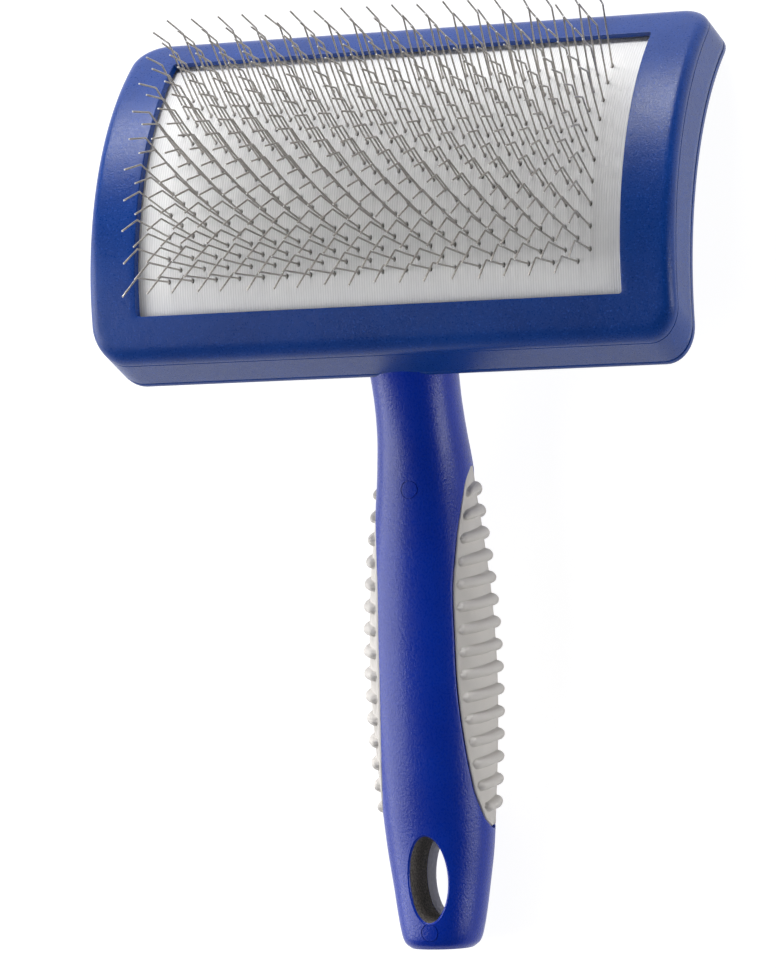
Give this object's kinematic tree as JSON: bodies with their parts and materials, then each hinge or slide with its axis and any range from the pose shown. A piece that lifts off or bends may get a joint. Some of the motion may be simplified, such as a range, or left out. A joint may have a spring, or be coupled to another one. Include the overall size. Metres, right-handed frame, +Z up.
{
  "type": "slicker brush",
  "caption": "Handheld slicker brush for pet coats: curved oblong head with a field of bent wire pins, leaning handle with ribbed rubber grips and a hang hole.",
  "frame": {"origin": "middle of the bounding box's bottom face, on the table that the brush lies on, pins up", "axes": "+Y from the handle's end to the head, +Z up out of the table, +X to the right as seen from the pin side with the head at the top"},
  "size_m": [0.1668, 0.2484, 0.0811],
  "materials": {
    "blue_plastic": "satin with a fine moulded grain",
    "grey_rubber": "matt, soft-touch",
    "pad_fabric": "fine lengthwise weave",
    "pad_foam": "soft cellular rubber",
    "pad_board": "plain",
    "pin_steel": "drawn wire, bright cut tips",
    "screw_steel": "plated"
  },
  "bodies": {
    "brush": {"head_frame": "blue_plastic", "back_body": "blue_plastic", "handle_front": "blue_plastic", "grip_right_front": "grey_rubber", "grip_right_rear": "grey_rubber", "grip_left_front": "grey_rubber", "grip_left_rear": "grey_rubber", "screw_neck": "screw_steel", "screw_end": "screw_steel", "pad_sheet": "pad_fabric", "pad_cushion": "pad_foam", "pad_backing": "pad_board"},
    "row_01": {"pin_row_01": "pin_steel"},
    "row_02": {"pin_row_02": "pin_steel"},
    "row_03": {"pin_row_03": "pin_steel"},
    "row_04": {"pin_row_04": "pin_steel"},
    "row_05": {"pin_row_05": "pin_steel"},
    "row_06": {"pin_row_06": "pin_steel"},
    "row_07": {"pin_row_07": "pin_steel"},
    "row_08": {"pin_row_08": "pin_steel"},
    "row_09": {"pin_row_09": "pin_steel"},
    "row_10": {"pin_row_10": "pin_steel"},
    "row_11": {"pin_row_11": "pin_steel"},
    "row_12": {"pin_row_12": "pin_steel"},
    "row_13": {"pin_row_13": "pin_steel"},
    "row_14": {"pin_row_14": "pin_steel"},
    "row_15": {"pin_row_15": "pin_steel"},
    "row_16": {"pin_row_16": "pin_steel"},
    "row_17": {"pin_row_17": "pin_steel"},
    "row_18": {"pin_row_18": "pin_steel"},
    "row_19": {"pin_row_19": "pin_steel"},
    "row_20": {"pin_row_20": "pin_steel"}
  },
  "joints": [
    {"name": "row_01_rock", "type": "hinge", "parent": "brush", "child": "row_01", "pos_m": [0, 0.10586, 0.02882], "axis": [1, 0, 0], "range_deg": [-8, 8], "stiffness_Nm_per_rad": 0.5},
    {"name": "row_02_rock", "type": "hinge", "parent": "brush", "child": "row_02", "pos_m": [0, 0.10363, 0.03071], "axis": [1, 0, 0], "range_deg": [-8, 8], "stiffness_Nm_per_rad": 0.5},
    {"name": "row_03_rock", "type": "hinge", "parent": "brush", "child": "row_03", "pos_m": [0, 0.10133, 0.0325], "axis": [1, 0, 0], "range_deg": [-8, 8], "stiffness_Nm_per_rad": 0.5},
    {"name": "row_04_rock", "type": "hinge", "parent": "brush", "child": "row_04", "pos_m": [0, 0.09896, 0.03421], "axis": [1, 0, 0], "range_deg": [-8, 8], "stiffness_Nm_per_rad": 0.5},
    {"name": "row_05_rock", "type": "hinge", "parent": "brush", "child": "row_05", "pos_m": [0, 0.09652, 0.03582], "axis": [1, 0, 0], "range_deg": [-8, 8], "stiffness_Nm_per_rad": 0.5},
    {"name": "row_06_rock", "type": "hinge", "parent": "brush", "child": "row_06", "pos_m": [0, 0.09403, 0.03733], "axis": [1, 0, 0], "range_deg": [-8, 8], "stiffness_Nm_per_rad": 0.5},
    {"name": "row_07_rock", "type": "hinge", "parent": "brush", "child": "row_07", "pos_m": [0, 0.09148, 0.03875], "axis": [1, 0, 0], "range_deg": [-8, 8], "stiffness_Nm_per_rad": 0.5},
    {"name": "row_08_rock", "type": "hinge", "parent": "brush", "child": "row_08", "pos_m": [0, 0.08887, 0.04007], "axis": [1, 0, 0], "range_deg": [-8, 8], "stiffness_Nm_per_rad": 0.5},
    {"name": "row_09_rock", "type": "hinge", "parent": "brush", "child": "row_09", "pos_m": [0, 0.08622, 0.04128], "axis": [1, 0, 0], "range_deg": [-8, 8], "stiffness_Nm_per_rad": 0.5},
    {"name": "row_10_rock", "type": "hinge", "parent": "brush", "child": "row_10", "pos_m": [0, 0.08352, 0.04239], "axis": [1, 0, 0], "range_deg": [-8, 8], "stiffness_Nm_per_rad": 0.5},
    {"name": "row_11_rock", "type": "hinge", "parent": "brush", "child": "row_11", "pos_m": [0, 0.08078, 0.0434], "axis": [1, 0, 0], "range_deg": [-8, 8], "stiffness_Nm_per_rad": 0.5},
    {"name": "row_12_rock", "type": "hinge", "parent": "brush", "child": "row_12", "pos_m": [0, 0.078, 0.04429], "axis": [1, 0, 0], "range_deg": [-8, 8], "stiffness_Nm_per_rad": 0.5},
    {"name": "row_13_rock", "type": "hinge", "parent": "brush", "child": "row_13", "pos_m": [0, 0.07519, 0.04508], "axis": [1, 0, 0], "range_deg": [-8, 8], "stiffness_Nm_per_rad": 0.5},
    {"name": "row_14_rock", "type": "hinge", "parent": "brush", "child": "row_14", "pos_m": [0, 0.07235, 0.04576], "axis": [1, 0, 0], "range_deg": [-8, 8], "stiffness_Nm_per_rad": 0.5},
    {"name": "row_15_rock", "type": "hinge", "parent": "brush", "child": "row_15", "pos_m": [0, 0.06949, 0.04633], "axis": [1, 0, 0], "range_deg": [-8, 8], "stiffness_Nm_per_rad": 0.5},
    {"name": "row_16_rock", "type": "hinge", "parent": "brush", "child": "row_16", "pos_m": [0, 0.0666, 0.04679], "axis": [1, 0, 0], "range_deg": [-8, 8], "stiffness_Nm_per_rad": 0.5},
    {"name": "row_17_rock", "type": "hinge", "parent": "brush", "child": "row_17", "pos_m": [0, 0.0637, 0.04713], "axis": [1, 0, 0], "range_deg": [-8, 8], "stiffness_Nm_per_rad": 0.5},
    {"name": "row_18_rock", "type": "hinge", "parent": "brush", "child": "row_18", "pos_m": [0, 0.06079, 0.04736], "axis": [1, 0, 0], "range_deg": [-8, 8], "stiffness_Nm_per_rad": 0.5},
    {"name": "row_19_rock", "type": "hinge", "parent": "brush", "child": "row_19", "pos_m": [0, 0.05788, 0.04748], "axis": [1, 0, 0], "range_deg": [-8, 8], "stiffness_Nm_per_rad": 0.5},
    {"name": "row_20_rock", "type": "hinge", "parent": "brush", "child": "row_20", "pos_m": [0, 0.05496, 0.04748], "axis": [1, 0, 0], "range_deg": [-8, 8], "stiffness_Nm_per_rad": 0.5}
  ]
}
